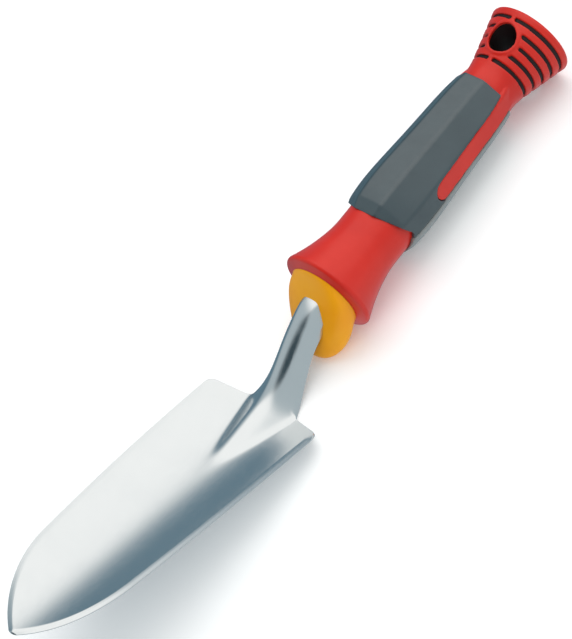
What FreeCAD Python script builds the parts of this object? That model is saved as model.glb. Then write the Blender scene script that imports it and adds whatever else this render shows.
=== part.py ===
"""Hand trowel with a pressed steel blade and a four-piece moulded handle.

Every piece is modelled in the handle's own frame: X runs along the handle's axis from
the end of the knob towards the blade's tip, and the scoop's hollow side faces +Z.
One common placement then lays the trowel down, hollow side up, on the knob and the
heel of the blade, with the origin under the middle of its box.
"""
import FreeCAD, Part
import math
import os

import Sketcher

Vector = FreeCAD.Vector

AXIS_X = Vector(1, 0, 0)
AXIS_Y = Vector(0, 1, 0)
AXIS_Z = Vector(0, 0, 1)
REACH = 60.0            # further than any piece reaches from the handle's axis
NEAR = 1e-3             # two places closer than this are the same
SHEET_MARGIN = 3.0      # how far the blade's sheet runs past its outline before it is cut
SHEET_ROWS = 79         # points along the sheet, and across it
SHEET_COLUMNS = 61
SLOPE_STEP = 0.01       # step that a slope is measured over
NOSE_STEPS = (0.0, 0.2, 0.4, 0.6, 0.76, 0.88, 0.95, 0.985)
RING_POINTS = 24

# All lengths are in millimetres. A place along the handle is measured from the end of the knob.
SIZES = {
    # knob
    "knob_dome": 1.9,
    "knob_lip_start": 0.5,
    "knob_lip_inset": 1.3,
    "knob_lip_place": 0.9,
    "knob_lip_round": 1.6,
    "knob_radius": 19.3,
    "knob_length": 24.0,
    "knob_small_radius": 13.2,
    "hole_place": 12.9,
    "hole_radius": 6.35,
    "ring_width": 1.25,
    "ring_height": 0.45,
    "slot_first": 4.0,
    "slot_pitch": 4.68,
    "slot_width": 1.7,
    "slot_count": 5,
    "slot_bridge": 2.0,
    "slot_to_ring": 0.7,
    # turned body of the shell under the pads, and the guard
    "waist_place": 29.5,
    "waist_radius": 12.5,
    "waist_round": 22.0,
    "pad_back": 33.3,
    "body_back_radius": 12.6,
    "body_front_place": 103.0,
    "body_front_radius": 14.6,
    "guard_start": 115.0,
    "guard_bend_round": 45.0,
    "guard_bend_place": 122.5,
    "guard_bend_radius": 15.23,
    "guard_flare_round": 83.5,
    "guard_lip_place": 141.2,
    "guard_radius": 20.7,
    "guard_lip_round": 1.7,
    "guard_face_place": 143.8,
    "guard_face_inset": 1.2,
    "collar_place": 145.0,
    # grip section, at five places along the handle; its corners are shares of the radius there
    "grip_root_place": 26.0,
    "grip_root_radius": 12.3,
    "grip_back_radius": 14.0,
    "grip_quarter_place": 48.0,
    "grip_quarter_radius": 15.45,
    "grip_half_place": 75.0,
    "grip_half_radius": 16.8,
    "grip_bevel_place": 105.0,
    "grip_bevel_radius": 16.8,
    "grip_front_place": 112.0,
    "grip_front_radius": 14.2,
    "top_corner_side": 0.365,
    "top_corner_height": 0.994,
    "side_corner_side": 0.925,
    "side_corner_height": 0.45,
    "low_corner_side": 0.955,
    "low_corner_height": -0.153,
    "underside_height": -0.96,
    "crease_round": 2.6,
    "pad_front": 103.0,
    "pad_front_rake": 0.5,
    "pad_gap": 0.25,
    "pad_proud": 0.35,
    "spine_bottom": -2.6,
    "spine_top": 6.6,
    "spine_end": 85.0,
    # core and spigot
    "core_back": 1.9,
    "slot_depth": 1.3,
    "core_radius": 11.0,
    "seat_place": 139.0,
    "spigot_back": 108.0,
    "spigot_radius": 9.0,
    # nose collar
    "collar_radius": 15.9,
    "nose_reach": 18.1,
    "nose_droop": 13.5,
    "nose_tilt": 25.0,
    "nose_lip": 0.3,
    "nose_side": 0.985,
    "nose_top": 0.87,
    "nose_bottom": 0.95,
    "nose_squareness": 3.2,
    "nose_corner": 2.55,
    "nose_fullness": 0.56,
    # blade, neck and tang
    "sheet_thickness": 1.5,
    "tang_back": 112.0,
    "tang_half_width": 6.8,
    "tang_height": 6.0,
    "tang_hole_radius": 2.5,
    "tang_hole_first": 119.0,
    "tang_hole_pitch": 11.0,
    "tang_hole_count": 2,
    "neck_start": 150.0,
    "neck_half_width": 7.5,
    "neck_waist": 166.0,
    "neck_mid": 179.5,
    "neck_mid_half_width": 8.9,
    "channel_depth": 14.0,
    "neck_crest_edge": 4.5,
    "keel_crest_edge": 2.4,
    "crest_round": 1.5,
    "crest_corner": 0.6,
    "neck_flank_slope": 2.3,
    "keel_flank_slope": 0.9,
    "keel_foot_blend": 0.7,
    "keel_place": 197.0,
    "keel_height": -12.0,
    "heel_place": 191.0,
    "heel_half_width": 12.3,
    "heel_floor": -22.8,
    "heel_blend": 1.0,
    "heel_round": 2.0,
    "blade_slope": 17.1,
    "scoop_radius": 62.0,
    "shoulder_place": 194.9,
    "shoulder_half_width": 30.7,
    "shoulder_round": 5.0,
    "side_mid_place": 245.0,
    "side_mid_half_width": 29.5,
    "side_end_place": 292.0,
    "side_end_half_width": 26.5,
    "point_mid_place": 318.0,
    "point_mid_half_width": 18.9,
    "tip_place": 338.6,
    "tip_round": 4.0,
}


class Size:
    """A number with the sheet expression it comes from, for sketch dimensions."""

    def __init__(self, value, text):
        self.value = value
        self.text = text

    def __sub__(self, other):
        return Size(self.value - other.value, "%s - (%s)" % (self.text, other.text))

    def __neg__(self):
        return Size(-self.value, "-(%s)" % self.text)


class Sheet:
    """The driving dimensions: sheet.name gives the number, sheet.size("name") the Size."""

    def __init__(self, doc):
        self.cells = doc.addObject("Spreadsheet::Sheet", "sizes")
        for row, (name, value) in enumerate(SIZES.items(), start=1):
            self.cells.set("A%d" % row, name)
            self.cells.set("B%d" % row, str(value))
            self.cells.setAlias("B%d" % row, name)
        doc.recompute()

    def __getattr__(self, name):
        return float(getattr(self.cells, name))

    def size(self, name):
        return Size(float(getattr(self.cells, name)), "sizes.%s" % name)


# ---------------------------------------------------------------- sketches and bodies

def origin_plane(body, role):
    """One of a body's own origin planes."""
    return next(f for f in body.Origin.OriginFeatures if f.Role == role)


def new_sketch(body, name, role):
    """An empty sketch on one of the body's origin planes."""
    sketch = body.newObject("Sketcher::SketchObject", name)
    sketch.AttachmentSupport = (origin_plane(body, role), [""])
    sketch.MapMode = "FlatFace"
    return sketch


def arc_through(start, end, radius):
    """The arc from start to end that bends left for a positive radius, drawn anticlockwise."""
    chord = end - start
    side = Vector(-chord.y, chord.x, 0).normalize()
    rise = abs(radius) - math.sqrt(radius ** 2 - (chord.Length / 2) ** 2)
    middle = (start + end) * 0.5 - side * math.copysign(rise, radius)
    if radius < 0:
        start, end = end, start
    return Part.Arc(start, middle, end)


def fix_point(sketch, geometry, end, point):
    """Tie one end of a sketch edge to its two sizes."""
    for kind, axis, size in (("DistanceX", -2, point[0]), ("DistanceY", -1, point[1])):
        if size is None:
            sketch.addConstraint(Sketcher.Constraint("PointOnObject", geometry, end, axis))
            continue
        index = sketch.addConstraint(Sketcher.Constraint(kind, -1, 1, geometry, end, size.value))
        sketch.setExpression("Constraints[%d]" % index, size.text)


def draw_profile(sketch, corners):
    """A closed outline. Each corner is (x, y, bend): bend is the radius of the edge to the
    next corner, positive when it bends left, or None for a straight edge. None as x or y
    puts the corner on that axis."""
    flat = [Vector(c[0].value if c[0] else 0, c[1].value if c[1] else 0, 0) for c in corners]
    ends = []
    for i, corner in enumerate(corners):
        start, end = flat[i], flat[(i + 1) % len(corners)]
        if corner[2] is None:
            sketch.addGeometry(Part.LineSegment(start, end), False)
        else:
            sketch.addGeometry(arc_through(start, end, corner[2].value), False)
        bends_right = corner[2] is not None and corner[2].value < 0
        ends.append((2, 1) if bends_right else (1, 2))
    for i, corner in enumerate(corners):
        after = (i + 1) % len(corners)
        sketch.addConstraint(Sketcher.Constraint("Coincident", i, ends[i][1], after, ends[after][0]))
        if corner[2] is not None:
            index = sketch.addConstraint(Sketcher.Constraint("Radius", i, abs(corner[2].value)))
            sketch.setExpression("Constraints[%d]" % index, "abs(%s)" % corner[2].text)
    for i, corner in enumerate(corners):
        fix_point(sketch, i, ends[i][0], corner)


def turned_body(doc, name, corners):
    """A body turned about the handle's axis from a half profile."""
    body = doc.addObject("PartDesign::Body", name)
    sketch = new_sketch(body, name + "_profile", "XY_Plane")
    draw_profile(sketch, corners)
    turned = body.newObject("PartDesign::Revolution", name + "_turned")
    turned.Profile = sketch
    turned.ReferenceAxis = (sketch, ["H_Axis"])
    turned.Angle = 360.0
    body.Tip = turned
    doc.recompute()
    return body


def cylinder(doc, name, radius, length, place, direction):
    """A Part cylinder whose two sizes are sheet expressions."""
    rod = doc.addObject("Part::Cylinder", name)
    rod.setExpression("Radius", radius)
    rod.setExpression("Height", length)
    rod.Placement = FreeCAD.Placement(place, FreeCAD.Rotation(AXIS_Z, direction))
    return rod


def joined(doc, kind, name, base, tool):
    """Part::Cut or Part::Common of two objects."""
    result = doc.addObject(kind, name)
    result.Base = base
    result.Tool = tool
    return result


def fused(doc, name, pieces):
    """Part::MultiFuse of several objects."""
    result = doc.addObject("Part::MultiFuse", name)
    result.Shapes = pieces
    return result


def feature(doc, name, shape):
    """A Part::Feature that holds a shape worked out in this file."""
    result = doc.addObject("Part::Feature", name)
    result.Shape = shape
    return result


# ---------------------------------------------------------------- core

def handle_core(doc, s):
    """Black core: a cone that backs the knob's slots, a rod, and the socket for the spigot."""
    size = s.size
    depth = size("slot_depth")
    body = turned_body(doc, "core_body", [
        (size("core_back"), None, None),
        (size("core_back"), size("knob_radius") - depth, None),
        (size("knob_length"), size("knob_small_radius") - depth, None),
        (size("waist_place"), size("core_radius"), None),
        (size("seat_place"), size("core_radius"), None),
        (size("seat_place"), size("spigot_radius"), None),
        (size("spigot_back"), size("spigot_radius"), None),
        (size("spigot_back"), None, None),
    ])
    before = body.Shape.Volume
    sketch = new_sketch(body, "hanging_hole_circle", "XY_Plane")
    sketch.addGeometry(Part.Circle(Vector(s.hole_place, 0, 0), AXIS_Z, s.hole_radius), False)
    sketch.addConstraint(Sketcher.Constraint("PointOnObject", 0, 3, -1))
    for kind, name in (("DistanceX", "hole_place"), ("Radius", "hole_radius")):
        ends = (-1, 1, 0, 3) if kind == "DistanceX" else (0,)
        index = sketch.addConstraint(Sketcher.Constraint(kind, *ends, size(name).value))
        sketch.setExpression("Constraints[%d]" % index, size(name).text)
    pocket = body.newObject("PartDesign::Pocket", "hanging_hole")
    pocket.Profile = sketch
    pocket.Type = "ThroughAll"
    pocket.SideType = "Symmetric"
    body.Tip = pocket
    doc.recompute()
    if body.Shape.Volume > before - NEAR:
        raise RuntimeError("the hanging hole cuts nothing")
    return body


# ---------------------------------------------------------------- shell

def dome_size(s, rim):
    """Radius of the knob's domed end out to its rim, with its centre on the handle's axis."""
    rise = s.size("knob_dome") - s.size("knob_lip_start")
    value = (rim.value ** 2 + rise.value ** 2) / (2 * rise.value)
    return Size(value, "((%s)^2 + (%s)^2) / (2 * (%s))" % (rim.text, rise.text, rise.text))


def turned_shell(doc, s):
    """Outside of the red shell: knob, waist, body under the pads, and flared guard."""
    size = s.size
    rim = size("knob_radius") - size("knob_lip_inset")
    guard_face = size("guard_radius") - size("guard_face_inset")
    return turned_body(doc, "shell_body", [
        (-size("knob_dome"), None, -dome_size(s, rim)),
        (-size("knob_lip_start"), rim, -size("knob_lip_round")),
        (size("knob_lip_place"), size("knob_radius"), None),
        (size("knob_length"), size("knob_small_radius"), size("waist_round")),
        (size("waist_place"), size("waist_radius"), None),
        (size("pad_back"), size("body_back_radius"), None),
        (size("body_front_place"), size("body_front_radius"), None),
        (size("guard_start"), size("body_front_radius"), size("guard_bend_round")),
        (size("guard_bend_place"), size("guard_bend_radius"), size("guard_flare_round")),
        (size("guard_lip_place"), size("guard_radius"), -size("guard_lip_round")),
        (size("guard_face_place"), guard_face, None),
        (size("collar_place"), size("collar_radius"), None),
        (size("seat_place"), size("collar_radius"), None),
        (size("seat_place"), None, None),
    ])


def hole_cylinder(doc, s, name, radius):
    """Cylinder on the hanging hole's axis, right through the knob."""
    return cylinder(doc, name, radius, "sizes.knob_radius * 4",
                    Vector(s.hole_place, 0, -2 * s.knob_radius), AXIS_Z)


def knob_slots(doc, s):
    """Cutter for the ring slots, which stop at the hole's ring and at a bridge above it."""
    discs = []
    for i in range(int(s.slot_count)):
        place = Vector(s.slot_first + i * s.slot_pitch - s.slot_width / 2, 0, 0)
        discs.append(cylinder(doc, "slot_disc_%d" % (i + 1), "sizes.knob_radius * 1.5",
                              "sizes.slot_width", place, AXIS_X))
    keep = hole_cylinder(doc, s, "ring_clearance",
                         "sizes.hole_radius + sizes.ring_width + sizes.slot_to_ring")
    bridge = doc.addObject("Part::Box", "slot_bridge_bar")
    bridge.setExpression("Length", "sizes.knob_length * 2")
    bridge.setExpression("Width", "sizes.slot_bridge")
    bridge.setExpression("Height", "sizes.knob_radius * 4")
    bridge.Placement.Base = Vector(-s.knob_length / 2, -s.slot_bridge / 2, -2 * s.knob_radius)
    return joined(doc, "Part::Cut", "slot_cutter", fused(doc, "slot_discs", discs),
                  fused(doc, "slot_stops", [keep, bridge]))


def hole_ring(doc, s):
    """Low raised ring around both mouths of the hanging hole."""
    cone = doc.addObject("Part::Cone", "ring_outside")
    cone.setExpression("Radius1", "sizes.knob_radius + sizes.ring_height")
    cone.setExpression("Radius2", "sizes.knob_small_radius + sizes.ring_height")
    cone.setExpression("Height", "sizes.knob_length - sizes.knob_lip_place")
    cone.Placement = FreeCAD.Placement(Vector(s.knob_lip_place, 0, 0),
                                       FreeCAD.Rotation(AXIS_Z, AXIS_X))
    post = hole_cylinder(doc, s, "ring_post", "sizes.hole_radius + sizes.ring_width")
    return joined(doc, "Part::Common", "hole_ring", cone, post)


def handle_shell(doc, s, core, spines):
    """Red shell: the turned outside with ring and spines, hollowed for the core, and slotted."""
    outside = fused(doc, "shell_outside", [turned_shell(doc, s), hole_ring(doc, s), spines])
    hollow = joined(doc, "Part::Cut", "shell_hollow", outside, core)
    slotted = joined(doc, "Part::Cut", "shell_slotted", hollow, knob_slots(doc, s))
    bore = hole_cylinder(doc, s, "shell_bore", "sizes.hole_radius")
    tang_room = cylinder(doc, "socket_room", "sizes.spigot_radius",
                         "sizes.seat_place - sizes.spigot_back",
                         Vector(s.spigot_back, 0, 0), AXIS_X)
    return joined(doc, "Part::Cut", "shell_bored", slotted,
                  fused(doc, "shell_bores", [bore, tang_room]))


# ---------------------------------------------------------------- grip

def rounded_corner(before, corner, after, radius):
    """Tangent points and middle of the arc that rounds one corner of an outline."""
    back = (before - corner).normalize()
    ahead = (after - corner).normalize()
    half_angle = back.getAngle(ahead) / 2
    reach = radius / math.tan(half_angle)
    bisector = (back + ahead).normalize()
    middle = corner + bisector * (radius / math.sin(half_angle) - radius)
    return corner + back * reach, middle, corner + ahead * reach


def grip_section(s, place, radius):
    """Section of the grip: a narrow flat on top, two wide side flats, upright flanks that
    carry the spines, and a round underside."""
    top = Vector(place, radius * s.top_corner_side, radius * s.top_corner_height)
    side = Vector(place, radius * s.side_corner_side, radius * s.side_corner_height)
    low = Vector(place, radius * s.low_corner_side, radius * s.low_corner_height)
    under = Vector(place, 0, radius * s.underside_height)
    mirror = FreeCAD.Matrix()
    mirror.scale(1, -1, 1)
    top_start, top_mid, top_end = rounded_corner(mirror * top, top, side, s.crease_round)
    side_start, side_mid, side_end = rounded_corner(top, side, low, s.crease_round)
    half = [
        Part.Arc(top_start, top_mid, top_end).toShape(),
        Part.makeLine(top_end, side_start),
        Part.Arc(side_start, side_mid, side_end).toShape(),
        Part.makeLine(side_end, low),
    ]
    edges = [Part.makeLine(mirror * top_start, top_start)] + half
    edges.append(Part.Arc(low, under, mirror * low).toShape())
    edges += [
        Part.makeLine(mirror * low, mirror * side_end),
        Part.Arc(mirror * side_end, mirror * side_mid, mirror * side_start).toShape(),
        Part.makeLine(mirror * side_start, mirror * top_end),
        Part.Arc(mirror * top_end, mirror * top_mid, mirror * top_start).toShape(),
    ]
    return Part.Wire(edges)


def grip_blank(s, inset):
    """The whole grip as one solid, its surface moved in by inset."""
    stations = [
        (s.grip_root_place, s.grip_root_radius),
        (s.pad_back, s.grip_back_radius),
        (s.grip_quarter_place, s.grip_quarter_radius),
        (s.grip_half_place, s.grip_half_radius),
        (s.grip_bevel_place, s.grip_bevel_radius),
    ]
    wires = [grip_section(s, place, radius - inset) for place, radius in stations]
    main = Part.makeLoft(wires, True, False)
    front = grip_section(s, s.grip_front_place, s.grip_front_radius - inset)
    bevel = Part.makeLoft([wires[-1], front], True, True)
    return main.fuse(bevel)


def spine_slot(s, gap):
    """Prism of the two side spines: a strip with a round front end, through the handle."""
    bottom = s.spine_bottom - gap
    top = s.spine_top + gap
    end_round = (top - bottom) / 2
    centre = s.spine_end + gap - end_round
    start = s.grip_root_place
    middle = (top + bottom) / 2
    corners = [Vector(start, -REACH, bottom), Vector(centre, -REACH, bottom),
               Vector(centre, -REACH, top), Vector(start, -REACH, top)]
    nose = Part.Arc(corners[1], Vector(centre + end_round, -REACH, middle), corners[2])
    outline = Part.Wire([Part.makeLine(corners[0], corners[1]), nose.toShape(),
                         Part.makeLine(corners[2], corners[3]),
                         Part.makeLine(corners[3], corners[0])])
    return Part.Face(outline).extrude(Vector(0, 2 * REACH, 0))


def pad_zone(s):
    """Prism of the pads: square at the back, and raked both ways from the side at the front."""
    far = s.pad_front + s.pad_front_rake * REACH
    corners = [Vector(s.pad_back, -REACH, -REACH), Vector(s.pad_back, -REACH, REACH),
               Vector(far, -REACH, REACH), Vector(s.pad_front, -REACH, 0),
               Vector(far, -REACH, -REACH), Vector(s.pad_back, -REACH, -REACH)]
    return Part.Face(Part.makePolygon(corners)).extrude(Vector(0, 2 * REACH, 0))


def half_space(height, above):
    """Large block above or below a level."""
    base = height if above else height - 2 * REACH
    return Part.makeBox(6 * REACH, 2 * REACH, 2 * REACH, Vector(-REACH, -REACH, base))


def grip_pads(doc, s, turned):
    """Upper and lower soft pads, laid on the turned body and kept clear of the spines."""
    blank = grip_blank(s, 0.0).common(pad_zone(s)).cut(turned).cut(spine_slot(s, s.pad_gap))
    upper = blank.common(half_space(s.spine_bottom + s.pad_gap / 2, True))
    lower = blank.common(half_space(s.spine_bottom - s.pad_gap / 2, False))
    return feature(doc, "upper_pad_shape", upper), feature(doc, "lower_pad_shape", lower)


def spine_bars(doc, s):
    """The two red spines, a little lower than the pads."""
    bars = grip_blank(s, s.pad_proud).common(spine_slot(s, 0.0))
    middle = Part.makeBox(6 * REACH, 2 * s.core_radius, 2 * REACH,
                          Vector(-REACH, -s.core_radius, -REACH))
    return feature(doc, "spine_bars", bars.cut(middle))


# ---------------------------------------------------------------- blade

def ease(t):
    """Smooth step from 0 to 1."""
    t = min(1.0, max(0.0, t))
    return t * t * (3 - 2 * t)


def soft_larger(a, b, blend):
    """The larger of two heights, with the corner between them rounded."""
    return (a + b) / 2 + math.sqrt(((a - b) / 2) ** 2 + blend ** 2)


def crest_height(s, x):
    """Height of the middle line of the channel: level tang, gooseneck, level keel."""
    drop = ease((x - s.neck_start) / (s.keel_place - s.neck_start))
    return s.tang_height + (s.keel_height - s.tang_height) * drop


def floor_height(s, x):
    """Height that the channel stands on: the scoop's floor, or a level well under the neck."""
    scoop = s.heel_floor + math.tan(math.radians(s.blade_slope)) * (x - s.heel_place)
    return soft_larger(scoop, crest_height(s, x) - s.channel_depth, s.heel_blend)


def neck_to_keel(s, x, neck, keel):
    """A value that changes smoothly from the neck's to the keel's."""
    return neck + (keel - neck) * ease((x - s.neck_waist) / (s.keel_place - s.neck_waist))


def channel_height(s, x, y):
    """Height of the channel: a crest with rounded edges, and straight flanks."""
    aside = math.sqrt(y ** 2 + s.crest_round ** 2)
    past_edge = aside - neck_to_keel(s, x, s.neck_crest_edge, s.keel_crest_edge)
    slope = neck_to_keel(s, x, s.neck_flank_slope, s.keel_flank_slope)
    return crest_height(s, x) - slope * soft_larger(0.0, past_edge, s.crest_corner)


def sheet_point(s, x, y):
    """Point of the sheet's upper face: trough of the scoop with the channel raised in it."""
    trough = s.scoop_radius - math.sqrt(s.scoop_radius ** 2 - y ** 2)
    height = soft_larger(floor_height(s, x) + trough, channel_height(s, x, y), s.keel_foot_blend)
    return Vector(x, y, height)


def sheet_face(s, rows, columns, depth):
    """B-spline face of the sheet, moved down its own normal by depth."""
    grid = []
    for x in rows:
        line = []
        for y in columns:
            here = sheet_point(s, x, y)
            along = sheet_point(s, x + SLOPE_STEP, y) - here
            across = sheet_point(s, x, y + SLOPE_STEP) - here
            line.append(here - along.cross(across).normalize() * depth)
        grid.append(line)
    surface = Part.BSplineSurface()
    surface.interpolate(grid)
    return surface.toShape()


def spread(start, end, count):
    """Evenly spaced numbers, both ends included."""
    return [start + (end - start) * i / (count - 1) for i in range(count)]


def sheet_slab(s):
    """Solid sheet, wider than the blade everywhere, ready to be cut to its outline."""
    edge = s.shoulder_half_width + SHEET_MARGIN
    rows = spread(s.tang_back - SHEET_MARGIN, s.tip_place + SHEET_MARGIN, SHEET_ROWS)
    columns = spread(-edge, edge, SHEET_COLUMNS)
    top = sheet_face(s, rows, columns, 0.0)
    bottom = sheet_face(s, rows, columns, s.sheet_thickness)
    sides = []
    for edge in top.Edges:
        middle = edge.valueAt((edge.FirstParameter + edge.LastParameter) / 2)
        below = min(bottom.Edges, key=lambda e: middle.distanceToPoint(
            e.valueAt((e.FirstParameter + e.LastParameter) / 2)))
        sides.append(Part.makeRuledSurface(edge, below))
    shell = Part.makeShell([top, bottom] + sides)
    shell.sewShape()
    solid = Part.makeSolid(Part.Shell(shell.Faces))
    if solid.Volume < 0:
        solid.reverse()
    return solid


def outline_prism(s):
    """Upright prism of the blade's outline seen from above."""
    def at(place, half_width):
        return Vector(place, half_width, -REACH)

    neck_end = at(s.heel_place, s.heel_half_width)
    shoulder = at(s.shoulder_place, s.shoulder_half_width)
    side_end = at(s.side_end_place, s.side_end_half_width)
    tip = at(s.tip_place, 0)
    tang_end = at(s.tang_back, s.tang_half_width)
    neck_start = at(s.neck_start, s.neck_half_width)
    waist = at(s.neck_waist, s.neck_half_width)
    half = [
        Part.makeLine(tang_end, at(s.seat_place, s.tang_half_width)),
        Part.makeLine(at(s.seat_place, s.tang_half_width), neck_start),
        Part.makeLine(neck_start, waist),
        Part.Arc(waist, at(s.neck_mid, s.neck_mid_half_width), neck_end).toShape(),
        Part.makeLine(neck_end, shoulder),
        Part.Arc(shoulder, at(s.side_mid_place, s.side_mid_half_width), side_end).toShape(),
        Part.Arc(side_end, at(s.point_mid_place, s.point_mid_half_width), tip).toShape(),
    ]
    mirror = FreeCAD.Matrix()
    mirror.scale(1, -1, 1)
    other = [edge.transformGeometry(mirror) for edge in half]
    back = Part.makeLine(at(s.tang_back, -s.tang_half_width), tang_end)
    wire = Part.Wire(Part.__sortEdges__(half + other + [back]))
    prism = Part.Face(wire).extrude(Vector(0, 0, 2 * REACH))
    for place, half_width, radius in (
            (s.heel_place, s.heel_half_width, s.heel_round),
            (s.shoulder_place, s.shoulder_half_width, s.shoulder_round),
            (s.tip_place, 0.0, s.tip_round)):
        corners = [e for e in prism.Edges if len(e.Vertexes) == 2
                   and abs(e.Vertexes[0].X - place) < NEAR
                   and abs(e.Vertexes[1].X - place) < NEAR
                   and abs(abs(e.Vertexes[0].Y) - half_width) < NEAR
                   and abs(e.Vertexes[0].Z - e.Vertexes[1].Z) > REACH]
        prism = prism.makeFillet(radius, corners)
    return prism


def blade(doc, s):
    """Scoop, keel, gooseneck and tang, pressed from one steel sheet."""
    pressing = sheet_slab(s).common(outline_prism(s))
    for i in range(int(s.tang_hole_count)):
        place = Vector(s.tang_hole_first + i * s.tang_hole_pitch, 0, -REACH)
        pressing = pressing.cut(Part.makeCylinder(s.tang_hole_radius, 2 * REACH, place))
    return feature(doc, "blade_shape", pressing)


# ---------------------------------------------------------------- collar

def signed_power(value, power):
    """The power of a number's size, with the number's sign."""
    return math.copysign(abs(value) ** power, value)


def nose_ring(s, step):
    """One section of the nose, from the round base (step 0) to its slanted front (step 1).
    The section grows squarer, and flatter above and below, away from the base."""
    tilt = math.radians(s.nose_tilt) * step
    change = ease(2 * step)
    centre = Vector(s.collar_place + s.nose_reach * step, 0, -s.nose_droop * step)
    radius = (s.collar_radius + s.nose_lip) * (1 - step ** s.nose_corner) ** s.nose_fullness
    across = AXIS_Y * radius * (1 + (s.nose_side - 1) * change)
    up = Vector(-math.sin(tilt), 0, math.cos(tilt)) * radius
    power = 2 / (2 + (s.nose_squareness - 2) * change)
    points = []
    for i in range(RING_POINTS):
        turn = 2 * math.pi * i / RING_POINTS
        height = signed_power(math.cos(turn), power)
        share = s.nose_top if height > 0 else s.nose_bottom
        points.append(centre + up * height * (1 + (share - 1) * change)
                      + across * signed_power(math.sin(turn), power))
    ring = Part.BSplineCurve()
    ring.interpolate(points, PeriodicFlag=True)
    return Part.Wire([ring.toShape()])


def nose_collar(doc, s, pressing):
    """Yellow collar: drooping nose, flange in the guard, and spigot, moulded round the neck."""
    nose = Part.makeLoft([nose_ring(s, step) for step in NOSE_STEPS], True, False)
    flange = Part.makeCylinder(s.collar_radius, s.collar_place - s.seat_place,
                               Vector(s.seat_place, 0, 0), AXIS_X)
    spigot = Part.makeCylinder(s.spigot_radius, s.seat_place - s.spigot_back,
                               Vector(s.spigot_back, 0, 0), AXIS_X)
    rear = flange.fuse(spigot).cut(pressing)
    return feature(doc, "collar_shape", nose.cut(pressing).fuse(rear))


# ---------------------------------------------------------------- assembly

def resting_placement(s, shapes):
    """Placement that lays the trowel on the knob and the heel, centred over the origin."""
    heel_low = -shapes["blade"].optimalBoundingBox(False).ZMin
    run = s.heel_place - s.knob_lip_place
    pitch = math.degrees(math.atan((heel_low - s.knob_radius) / run))
    lying = FreeCAD.Rotation(AXIS_Y, -pitch)
    turned = [shape.transformed(FreeCAD.Placement(Vector(), lying).toMatrix())
              for shape in shapes.values()]
    box = Part.makeCompound(turned).optimalBoundingBox(False)
    return FreeCAD.Placement(Vector(-box.Center.x, 0, -box.ZMin), lying)


def check(doc):
    """Stop if any object of the document failed."""
    for item in doc.Objects:
        if "Invalid" in item.State or "Error" in item.State:
            raise RuntimeError("%s failed: %s" % (item.Name, item.State))


def main():
    doc = FreeCAD.newDocument("hand_trowel")
    s = Sheet(doc)
    core = handle_core(doc, s)
    spines = spine_bars(doc, s)
    shell = handle_shell(doc, s, core, spines)
    doc.recompute()
    turned = doc.getObject("shell_body").Shape
    upper, lower = grip_pads(doc, s, turned)
    pressing = blade(doc, s)
    collar = nose_collar(doc, s, pressing.Shape)
    doc.recompute()
    check(doc)
    sources = {
        "blade": pressing,
        "nose_collar": collar,
        "handle_core": core,
        "handle_shell": shell,
        "upper_grip_pad": upper,
        "lower_grip_pad": lower,
    }
    shapes = {name: item.Shape.removeSplitter() for name, item in sources.items()}
    placement = resting_placement(s, shapes)
    os.makedirs("parts", exist_ok=True)
    for name, shape in shapes.items():
        node = feature(doc, name, shape)
        node.Label = name
        node.Placement = placement
        doc.recompute()
        if node.Shape.isNull() or not node.Shape.isValid():
            raise RuntimeError("%s has no valid shape" % name)
        node.Shape.exportStep("parts/%s.step" % name)
        print(name, "solids", len(node.Shape.Solids), "volume %.1f" % node.Shape.Volume)
    print("placement", placement)


main()
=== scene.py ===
"""Looks of the hand trowel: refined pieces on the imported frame, materials, light and camera.

The blade and its finish are worked out in the handle's own frame, in millimetres: X along the
handle from the knob to the tip, the scoop's hollow facing +Z. at_rest() takes a point from
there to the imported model's frame, in metres.
"""
import math

import bmesh
import bpy
from mathutils import Matrix, Vector


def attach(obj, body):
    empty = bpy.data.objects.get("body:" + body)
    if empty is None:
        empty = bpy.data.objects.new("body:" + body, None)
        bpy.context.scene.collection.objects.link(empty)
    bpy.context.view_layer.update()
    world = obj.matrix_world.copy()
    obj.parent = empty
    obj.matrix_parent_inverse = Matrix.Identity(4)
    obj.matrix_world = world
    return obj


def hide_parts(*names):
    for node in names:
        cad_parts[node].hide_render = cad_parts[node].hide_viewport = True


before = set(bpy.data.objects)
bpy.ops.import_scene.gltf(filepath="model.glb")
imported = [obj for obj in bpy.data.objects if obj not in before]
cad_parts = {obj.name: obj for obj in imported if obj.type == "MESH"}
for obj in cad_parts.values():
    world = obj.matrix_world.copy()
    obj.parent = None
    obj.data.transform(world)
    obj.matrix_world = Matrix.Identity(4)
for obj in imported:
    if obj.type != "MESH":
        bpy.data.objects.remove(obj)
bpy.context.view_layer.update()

LYING = Matrix.Rotation(math.radians(-0.883542), 3, "Y")    # onto the knob's rim and the heel
LIFT = Vector((-167.706, 0.0, 19.3063))                     # mm, to the middle of the box
MM = 0.001

SHEET = 1.5             # thickness of the blade's steel
RIM_WIDTH = 3.2         # ground bevel along the blade's cutting edges
RIM_DROP = 1.1          # and how far it falls at the edge
RIM_START = 193.0       # the bevel begins at the heel
RIM_RUN = 7.0           # and is full this much further on
EDGE_ROUND = 0.12       # rounding of the sheet's edges

NECK_START = 150.0      # the gooseneck begins to fall
KEEL_PLACE = 197.0      # and is level again, as the keel
TANG_HEIGHT = 6.0
NECK_FALL = 18.0
CHANGE_START = 166.0    # the neck's section begins to turn into the keel's
NECK_EDGE, KEEL_EDGE = 4.5, 2.4         # half widths of the flat crest
NECK_FLANK, KEEL_FLANK = 2.3, 0.9       # slopes of its two sides
CREST_ROUND = 1.5
CREST_CORNER = 0.6
MOUTH = 152.0           # the crest widens and softens from the collar's mouth
MOUTH_RUN = 12.0
MOUTH_WIDER = 0.3
MOUTH_SOFTER = 0.5
CHANNEL_DEPTH = 14.0
CHANNEL_BLEND = 1.0
FOOT_BLEND = 0.7        # fillet between the crest's sides and the scoop

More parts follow.
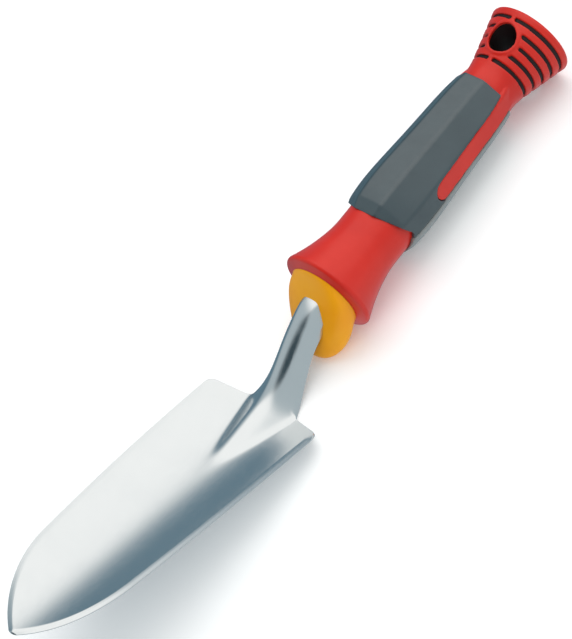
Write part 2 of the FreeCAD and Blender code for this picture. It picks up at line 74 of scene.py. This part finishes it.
HEEL = 191.0
HEEL_HEIGHT = -22.8     # scoop's middle line at the heel
SCOOP_TILT = math.radians(17.1)
SCOOP_RADIUS = 62.0

STEP = 0.02             # spacing of the points that give a slope
NEAR = 1e-3             # points closer than this are one
ACROSS = 24             # quads from the middle line to the ground bevel
BLUNT_POINTS = 8        # points round each side of the blunted tip
BLUNT_WIDTH = 2.6       # half width where the tip's rounding begins
BEVEL_APPROACH = 4.2    # rows crowd together from here to the edge
MARGINS = (BEVEL_APPROACH, RIM_WIDTH + 0.15, RIM_WIDTH - 0.15, 1.5,
           EDGE_ROUND, EDGE_ROUND / 3, 0.0)
SHARP = math.radians(32)        # faces that meet at more than this show a hard edge

MOULDING = 0.35         # voxel that rounds the edges of the moulded pieces
AROUND = (0.48, 0.55, 0.58)     # brightness of the studio between its panels


def at_rest(point):
    """A point of the handle's frame, in mm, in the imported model's frame, in metres."""
    return (LYING @ Vector(point) + LIFT) * MM


def turned(direction):
    """A direction of the handle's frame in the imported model's frame."""
    return LYING @ Vector(direction)


# ---------------------------------------------------------------- blade

def ease(t):
    """Smooth step from 0 to 1."""
    t = min(1.0, max(0.0, t))
    return t * t * (3 - 2 * t)


def soft_larger(a, b, blend):
    """The larger of two values, with a rounded change from one to the other."""
    return (a + b) / 2 + math.sqrt(((a - b) / 2) ** 2 + blend ** 2)


def crest_height(x):
    """Middle line of the keel: level tang, gooseneck, level keel."""
    return TANG_HEIGHT - NECK_FALL * ease((x - NECK_START) / (KEEL_PLACE - NECK_START))


def neck_to_keel(x, neck, keel):
    """A size of the crest that has one value on the neck and another on the keel."""
    return neck + (keel - neck) * ease((x - CHANGE_START) / (KEEL_PLACE - CHANGE_START))


def sheet_height(x, y):
    """Upper face of the sheet: trough of the scoop with the keel raised in it."""
    floor = soft_larger(HEEL_HEIGHT + math.tan(SCOOP_TILT) * (x - HEEL),
                        crest_height(x) - CHANNEL_DEPTH, CHANNEL_BLEND)
    trough = floor + SCOOP_RADIUS - math.sqrt(SCOOP_RADIUS ** 2 - y ** 2)
    past_mouth = ease((x - MOUTH) / MOUTH_RUN)
    past_edge = math.sqrt(y ** 2 + CREST_ROUND ** 2) - neck_to_keel(x, NECK_EDGE, KEEL_EDGE)
    past_edge -= MOUTH_WIDER * past_mouth
    corner = CREST_CORNER + MOUTH_SOFTER * past_mouth
    slope = neck_to_keel(x, NECK_FLANK, KEEL_FLANK)
    keel = crest_height(x) - slope * soft_larger(0.0, past_edge, corner)
    return soft_larger(trough, keel, FOOT_BLEND)


def sheet_normal(x, y):
    """Direction square to the sheet's upper face."""
    along = Vector((2 * STEP, 0, sheet_height(x + STEP, y) - sheet_height(x - STEP, y)))
    across = Vector((0, 2 * STEP, sheet_height(x, y + STEP) - sheet_height(x, y - STEP)))
    return along.cross(across).normalized()


def arc_points(a, b, c, count):
    """Points on the circle through three points, a to c, without c."""
    d = 2 * (a.x * (b.y - c.y) + b.x * (c.y - a.y) + c.x * (a.y - b.y))
    u = Vector(((a.length_squared * (b.y - c.y) + b.length_squared * (c.y - a.y)
                 + c.length_squared * (a.y - b.y)) / d,
                (a.length_squared * (c.x - b.x) + b.length_squared * (a.x - c.x)
                 + c.length_squared * (b.x - a.x)) / d))
    start = math.atan2(a.y - u.y, a.x - u.x)
    sweep = math.atan2(c.y - u.y, c.x - u.x) - start
    sweep = (sweep + math.pi) % (2 * math.pi) - math.pi
    radius = (a - u).length
    return [u + radius * Vector((math.cos(start + sweep * i / count),
                                 math.sin(start + sweep * i / count))) for i in range(count)]


def straight(a, b, count):
    """Points on the straight line from a to b, without b."""
    return [a.lerp(b, i / count) for i in range(count)]


def bent(a, corner, b, t):
    """Point of the smooth curve from a to b that leans toward the corner."""
    return a * (1 - t) ** 2 + corner * 2 * t * (1 - t) + b * t ** 2


def rounded(line, corner, reach, count):
    """The polyline with a sharp corner made a curve, from reach before it to reach after."""
    near = [p for p in line if (p - corner).length < reach]
    first, last = line.index(near[0]), line.index(near[-1])
    a = corner + (line[first - 1] - corner).normalized() * reach
    b = corner + (line[last + 1] - corner).normalized() * reach
    curve = [bent(a, corner, b, i / count) for i in range(count + 1)]
    return line[:first] + curve + line[last + 1:]


def half_outline():
    """Half of the blade's outline seen from above, from the tang to the tip."""
    neck, waist = Vector((NECK_START, 7.5)), Vector((CHANGE_START, 7.5))
    heel, shoulder = Vector((HEEL, 12.3)), Vector((194.9, 30.7))
    side_end, tip = Vector((292.0, 26.5)), Vector((338.6, 0.0))
    line = straight(Vector((146.0, 7.2)), neck, 4)
    line += straight(neck, waist, 22)
    line += arc_points(waist, Vector((179.5, 8.9)), heel, 36)
    line += straight(heel, shoulder, 26)
    line += arc_points(shoulder, Vector((245.0, 29.5)), side_end, 70)
    line += arc_points(side_end, Vector((318.0, 18.9)), tip, 46)
    line = rounded(line, heel, 1.6, 8)
    line = rounded(line, shoulder, 4.4, 14)
    blunt = [p for p in line if p.y > BLUNT_WIDTH]
    last = blunt[-1]
    nose = Vector((tip.x - 1.0, 0.0))
    bend = Vector((nose.x, last.y * 0.62))
    for i in range(1, BLUNT_POINTS + 1):
        blunt.append(bent(last, bend, nose, i / BLUNT_POINTS))
    return blunt


def middle_place(edge):
    """Where the row that ends at this outline point meets the blade's middle line."""
    before_heel = ease((edge.y - 9.0) / 21.7) if edge.x < 196.0 else 1.0
    beyond = 9.0 * before_heel * ease((330.0 - edge.x) / 120.0)
    return edge.x - 2.5 * ease((edge.x - 176.0) / 14.0) * (1 - before_heel) + beyond


def row_places(edge):
    """Points of one row from the middle line to the edge, in plan: evenly over the keel and the
    scoop, then close together over the ground bevel."""
    middle = middle_place(edge)
    limit = max(0.0, 1 - BEVEL_APPROACH / max(edge.y, NEAR))
    shares = [limit * i / ACROSS for i in range(ACROSS + 1)]
    for margin in MARGINS[1:]:
        shares.append(1 - (1 - limit) * margin / BEVEL_APPROACH)
    return [Vector((middle + (edge.x - middle) * t * t, edge.y * t)) for t in shares]


def sheet_vertex(mesh, x, y, margin, below):
    """Vertex of the sheet's upper or lower face, at this distance from the blade's edge."""
    depth = SHEET if below else 0.0
    if not below and margin < RIM_WIDTH:
        depth = RIM_DROP * (1 - margin / RIM_WIDTH) * ease((x - RIM_START) / RIM_RUN)
    if margin < EDGE_ROUND:
        depth += (EDGE_ROUND - margin) * (-1 if below else 1)
    height = sheet_height(x, y) - depth / sheet_normal(x, y).z
    return mesh.verts.new(at_rest((x, y, height)))


def blade_mesh():
    """The blade as a quad mesh: two faces a sheet apart, joined by a rounded edge."""
    mesh = bmesh.new()
    faces = []
    for below in (False, True):
        rows = []
        for edge in half_outline():
            places = row_places(edge)
            across = [(p, -1) for p in reversed(places)] + [(p, 1) for p in places[1:]]
            rows.append([sheet_vertex(mesh, p.x, p.y * side, edge.y - p.y, below)
                         for p, side in across])
        faces.append(rows)
    top, bottom = faces
    wide = len(top[0])
    for i in range(len(top) - 1):
        for j in range(wide - 1):
            mesh.faces.new((top[i][j], top[i + 1][j], top[i + 1][j + 1], top[i][j + 1]))
            mesh.faces.new((bottom[i][j], bottom[i][j + 1],
                            bottom[i + 1][j + 1], bottom[i + 1][j]))
        for j in (0, wide - 1):
            mesh.faces.new((top[i][j], bottom[i][j], bottom[i + 1][j], top[i + 1][j]))
    for j in range(wide - 1):
        mesh.faces.new((top[0][j], top[0][j + 1], bottom[0][j + 1], bottom[0][j]))
    bmesh.ops.remove_doubles(mesh, verts=mesh.verts, dist=NEAR * MM)
    bmesh.ops.recalc_face_normals(mesh, faces=mesh.faces)
    return mesh


def new_piece(name, mesh, finish, node):
    """A smooth piece of the trowel from a bmesh, standing for a CAD node on the root body."""
    for face in mesh.faces:
        face.smooth = True
    for edge in mesh.edges:
        edge.smooth = edge.calc_face_angle(0.0) < SHARP
    data = bpy.data.meshes.new(name)
    mesh.to_mesh(data)
    mesh.free()
    data.materials.append(MATERIALS[finish])
    piece = bpy.data.objects.new(name, data)
    bpy.context.scene.collection.objects.link(piece)
    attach(piece, "root")
    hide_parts(node)


def softened(node, name, passes):
    """A moulded CAD node with its edges rounded by this many smoothing passes."""
    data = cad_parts[node].data.copy()
    copy = bpy.data.objects.new(name, data)
    bpy.context.scene.collection.objects.link(copy)
    remesh = copy.modifiers.new("even", "REMESH")
    remesh.mode = "VOXEL"
    remesh.voxel_size = MOULDING * MM
    smooth = copy.modifiers.new("round", "SMOOTH")
    smooth.iterations = passes
    bpy.context.view_layer.update()
    evaluated = copy.evaluated_get(bpy.context.evaluated_depsgraph_get())
    shaped = bpy.data.meshes.new_from_object(evaluated)
    bpy.data.objects.remove(copy)
    mesh = bmesh.new()
    mesh.from_mesh(shaped)
    new_piece(name, mesh, NODE_FINISH[node], node)


# ---------------------------------------------------------------- materials

class Nodes:
    """Short way to add and link shader nodes."""

    def __init__(self, name):
        self.material = bpy.data.materials.new(name)
        self.material.use_nodes = True
        self.tree = self.material.node_tree
        self.shader = self.tree.nodes["Principled BSDF"]
        self.place = self.add("ShaderNodeTexCoord").outputs["Object"]

    def add(self, kind, **values):
        """A new node, with the values of its inputs; _ in a name stands for a space."""
        node = self.tree.nodes.new(kind)
        for name, value in values.items():
            node.inputs[name.replace("_", " ")].default_value = value
        return node

    def link(self, source, target):
        self.tree.links.new(source, target)

    def noise(self, scale, detail, stretch=(1, 1, 1)):
        """Noise over the object's own coordinates; stretch lengthens the grain per axis."""
        spread = self.add("ShaderNodeMapping", Scale=[scale / s for s in stretch])
        self.link(self.place, spread.inputs["Vector"])
        noise = self.add("ShaderNodeTexNoise", Scale=1.0, Detail=detail, Roughness=0.55)
        self.link(spread.outputs["Vector"], noise.inputs["Vector"])
        return noise.outputs["Fac"]

    def tint(self, value, dark, light):
        """Colours between two shades, led by a value near one half."""
        ramp = self.add("ShaderNodeValToRGB")
        ramp.color_ramp.elements[0].position = 0.3
        ramp.color_ramp.elements[1].position = 0.7
        ramp.color_ramp.elements[0].color = (*dark, 1)
        ramp.color_ramp.elements[1].color = (*light, 1)
        self.link(value, ramp.inputs["Fac"])
        self.link(ramp.outputs["Color"], self.shader.inputs["Base Color"])

    def roughness(self, value, low, high):
        """Roughness between two values, led by a value near one half."""
        spread = self.add("ShaderNodeMapRange", From_Min=0.3, From_Max=0.7,
                          To_Min=low, To_Max=high)
        self.link(value, spread.inputs["Value"])
        self.link(spread.outputs["Result"], self.shader.inputs["Roughness"])

    def bump(self, value, height, strength):
        """Fine relief of the surface, its height in mm."""
        bump = self.add("ShaderNodeBump", Strength=strength, Distance=height * MM)
        self.link(value, bump.inputs["Height"])
        self.link(bump.outputs["Normal"], self.shader.inputs["Normal"])


def steel(name):
    """Satin plated steel, its grain running along the blade."""
    n = Nodes(name)
    n.shader.inputs["Metallic"].default_value = 1.0
    n.tint(n.noise(60, 3), (0.735, 0.757, 0.765), (0.757, 0.777, 0.783))
    n.roughness(n.noise(900, 4, (6, 1, 1)), 0.21, 0.26)
    n.bump(n.noise(2500, 3, (10, 1, 1)), 0.0008, 0.5)
    return n.material


def plastic(name, dark, light, rough, grain, gloss, coat=0.0):
    """Moulded plastic: rough is its range of roughness, grain its relief's scale and height."""
    n = Nodes(name)
    n.tint(n.noise(45, 3), dark, light)
    n.roughness(n.noise(300, 3), rough[0], rough[1])
    n.bump(n.noise(grain[0], 2), grain[1], 0.6)
    n.shader.inputs["Specular IOR Level"].default_value = gloss
    if coat:
        n.shader.inputs["Coat Weight"].default_value = coat
        n.shader.inputs["Coat Roughness"].default_value = 0.12
    return n.material


def rubber(name, dark, light):
    """Fine-grained soft rubber with a dull sheen."""
    n = Nodes(name)
    n.tint(n.noise(80, 4), dark, light)
    n.roughness(n.noise(400, 3), 0.34, 0.44)
    n.bump(n.noise(3200, 3), 0.008, 0.6)
    n.shader.inputs["Specular IOR Level"].default_value = 0.9
    n.shader.inputs["Coat Weight"].default_value = 0.6
    n.shader.inputs["Coat Roughness"].default_value = 0.25
    n.shader.inputs["Coat IOR"].default_value = 1.6
    return n.material


MATERIALS = {
    "satin_steel": steel("satin_steel"),
    "yellow_plastic": plastic("yellow_plastic", (0.94, 0.36, 0.004), (0.99, 0.43, 0.008),
                              (0.34, 0.42), (2200, 0.012), 0.28),
    "black_plastic": plastic("black_plastic", (0.012, 0.006, 0.006), (0.02, 0.009, 0.009),
                             (0.45, 0.6), (1800, 0.02), 0.4),
    "red_plastic": plastic("red_plastic", (0.60, 0.017, 0.009), (0.69, 0.025, 0.013),
                           (0.28, 0.36), (2200, 0.01), 0.35, coat=0.1),
    "grey_rubber": rubber("grey_rubber", (0.018, 0.038, 0.047), (0.026, 0.050, 0.060)),
    # Lower pad: the upper pad's rubber with its colour lifted to a light grey, painted rim
    # light
    "light_grey_rubber": rubber("light_grey_rubber", (0.17, 0.18, 0.175), (0.22, 0.23, 0.22)),
}
NODE_FINISH = {
    "nose_collar": "yellow_plastic",
    "handle_core": "black_plastic",
    "handle_shell": "red_plastic",
    "upper_grip_pad": "grey_rubber",
    "lower_grip_pad": "light_grey_rubber",
}


def finish_nodes():
    """Give the handle's CAD nodes their materials."""
    for name, finish in NODE_FINISH.items():
        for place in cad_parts[name].material_slots:
            place.material = MATERIALS[finish]


# ---------------------------------------------------------------- floor, light and camera

def floor():
    """Plain pale floor with a fine, faint grain."""
    mesh = bmesh.new()
    bmesh.ops.create_grid(mesh, x_segments=8, y_segments=8, size=6.0)
    data = bpy.data.meshes.new("floor")
    mesh.to_mesh(data)
    mesh.free()
    n = Nodes("floor_paper")
    n.tint(n.noise(40, 2), (0.93, 0.93, 0.93), (0.95, 0.95, 0.95))
    n.shader.inputs["Roughness"].default_value = 0.9
    n.shader.inputs["Emission Color"].default_value = (1, 1, 1, 1)
    n.shader.inputs["Emission Strength"].default_value = 0.15
    data.materials.append(n.material)
    piece = bpy.data.objects.new("floor", data)
    bpy.context.scene.collection.objects.link(piece)
    piece.visible_glossy = False


def softbox(name, toward, distance, size, power):
    """Rectangular soft light in a direction from the trowel, facing it. The wide panels of
    surroundings() show in the steel in its place."""
    light = bpy.data.lights.new(name, "AREA")
    light.shape = "RECTANGLE"
    light.size, light.size_y = size
    light.energy = power
    lamp = bpy.data.objects.new(name, light)
    away = turned(toward).normalized()
    lamp.location = away * distance
    lamp.rotation_euler = away.to_track_quat("Z", "Y").to_euler()
    lamp.visible_glossy = False
    bpy.context.scene.collection.objects.link(lamp)


def surroundings():
    """Studio around the trowel: an even grey with soft panels, each a direction, the cosines
    where its edge starts and where it is full, and its brightness."""
    panels = [
        ((-0.50, 0.00, 0.87), 0.60, 0.83, (1.14, 1.14, 1.12)),
        ((0.84, 0.08, 0.54), 0.76, 0.91, (0.02, 0.045, 0.06)),
        ((-0.40, -0.85, -0.35), 0.50, 0.82, (0.13, 0.22, 0.28)),
    ]
    world = bpy.data.worlds.new("studio")
    world.use_nodes = True
    tree = world.node_tree
    direction = tree.nodes.new("ShaderNodeTexCoord").outputs["Generated"]
    level = None
    for toward, start, full, bright in panels:
        dot = tree.nodes.new("ShaderNodeVectorMath")
        dot.operation = "DOT_PRODUCT"
        dot.inputs[1].default_value = turned(toward).normalized()
        tree.links.new(direction, dot.inputs[0])
        edge = tree.nodes.new("ShaderNodeMapRange")
        edge.interpolation_type = "SMOOTHSTEP"
        edge.inputs["From Min"].default_value = start
        edge.inputs["From Max"].default_value = full
        tree.links.new(dot.outputs["Value"], edge.inputs["Value"])
        mix = tree.nodes.new("ShaderNodeMixRGB")
        mix.inputs["Color1"].default_value = (*AROUND, 1)
        mix.inputs["Color2"].default_value = (*bright, 1)
        tree.links.new(edge.outputs["Result"], mix.inputs["Fac"])
        if level:
            tree.links.new(level, mix.inputs["Color1"])
        level = mix.outputs["Color"]
    tree.links.new(level, tree.nodes["Background"].inputs["Color"])
    bpy.context.scene.world = world


def camera():
    """Long lens, above the tip's end on the trowel's +Y side, turned to frame it corner to
    corner."""
    data = bpy.data.cameras.new("view")
    data.sensor_width = 36.0
    data.lens = 200.38
    data.clip_start = 0.05
    data.clip_end = 50.0
    eye = bpy.data.objects.new("view", data)
    right = turned((-0.603618, 0.724583, -0.332602)).normalized()
    back = turned((0.269196, 0.577902, 0.770430)).normalized()
    up = back.cross(right).normalized()
    right = up.cross(back)
    facing = Matrix((right, up, back)).transposed().to_4x4()
    eye.matrix_world = Matrix.Translation(at_rest((555.30, 836.68, 1125.34))) @ facing
    bpy.context.scene.collection.objects.link(eye)
    bpy.context.scene.camera = eye


new_piece("steel_blade", blade_mesh(), "satin_steel", "blade")
softened("upper_grip_pad", "upper_pad", 5)
softened("lower_grip_pad", "lower_pad", 5)
softened("handle_shell", "shell", 3)
finish_nodes()
floor()
softbox("key", (-0.35, -0.20, 0.90), 1.3, (1.3, 1.1), 6.0)
softbox("fill", (0.70, 0.25, 0.60), 1.4, (1.0, 0.9), 4.5)
surroundings()
camera()
bpy.context.scene.view_settings.view_transform = "Standard"
